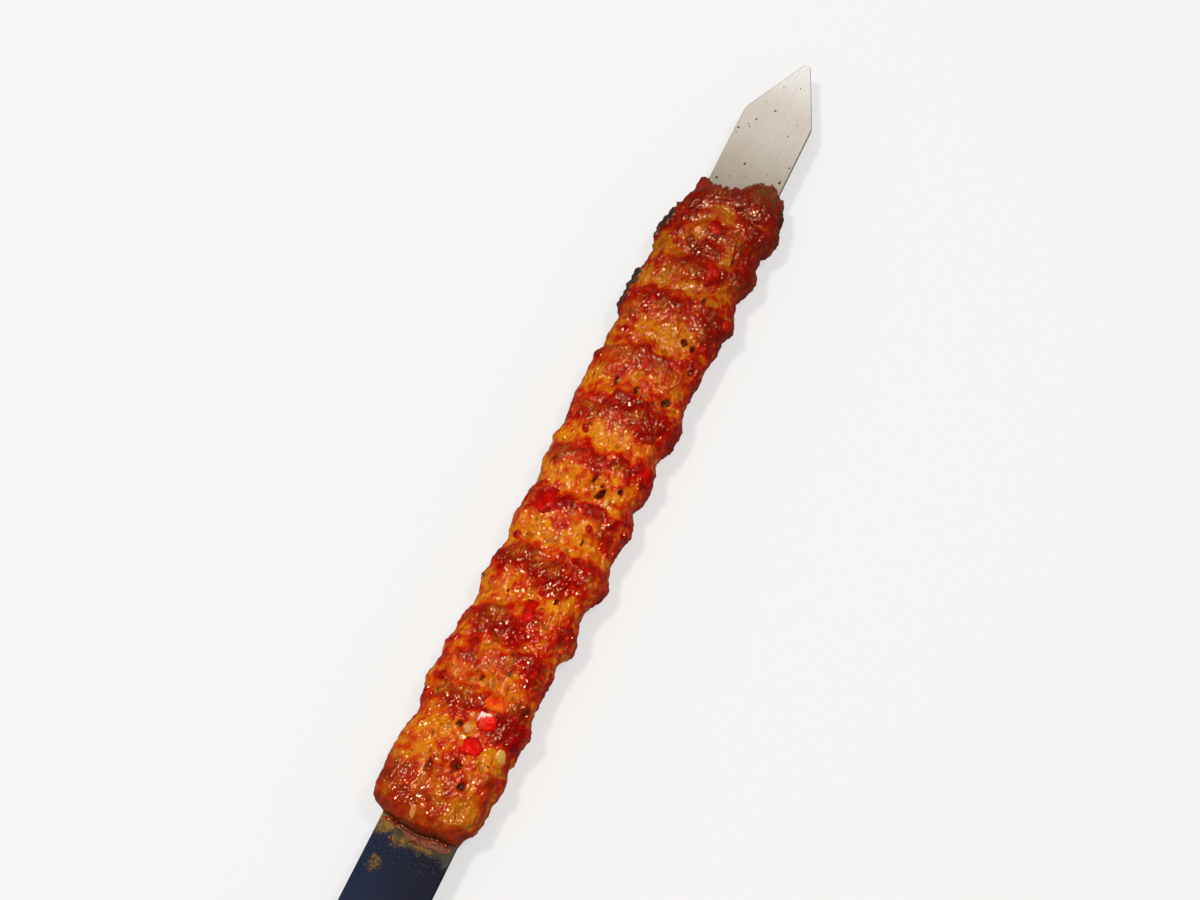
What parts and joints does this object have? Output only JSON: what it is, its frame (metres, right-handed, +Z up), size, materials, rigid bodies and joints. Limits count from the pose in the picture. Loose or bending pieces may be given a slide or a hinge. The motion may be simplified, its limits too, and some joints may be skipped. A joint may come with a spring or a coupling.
{
  "type": "kofta skewer",
  "caption": "Grilled minced meat kebab, finger-ridged and flattened, moulded around a broad flat pointed steel skewer, with diced red pepper set in its face.",
  "frame": {"origin": "on the table under the middle of the skewer, at the bottom centre of the bounding box", "axes": "+X along the blade towards its point, +Y across the blade, +Z up, out of the face that shows"},
  "size_m": [0.52, 0.0451, 0.0253],
  "materials": {
    "skewer_steel": "satin stainless steel, pale at the point and blued dark by the fire towards the handle end, with grease specks",
    "grilled_meat": "grilled minced meat, orange-brown with dark red crusted ridges and an oily sheen",
    "red_pepper": "glossy diced red pepper"
  },
  "bodies": {
    "root": {"skewer_blade": "skewer_steel", "kofta_meat": "grilled_meat", "pepper_dice_1": "red_pepper", "pepper_dice_2": "red_pepper", "pepper_dice_3": "red_pepper", "pepper_dice_4": "red_pepper", "pepper_dice_5": "red_pepper", "pepper_dice_6": "red_pepper", "pepper_dice_7": "red_pepper", "pepper_dice_8": "red_pepper"}
  },
  "joints": []
}
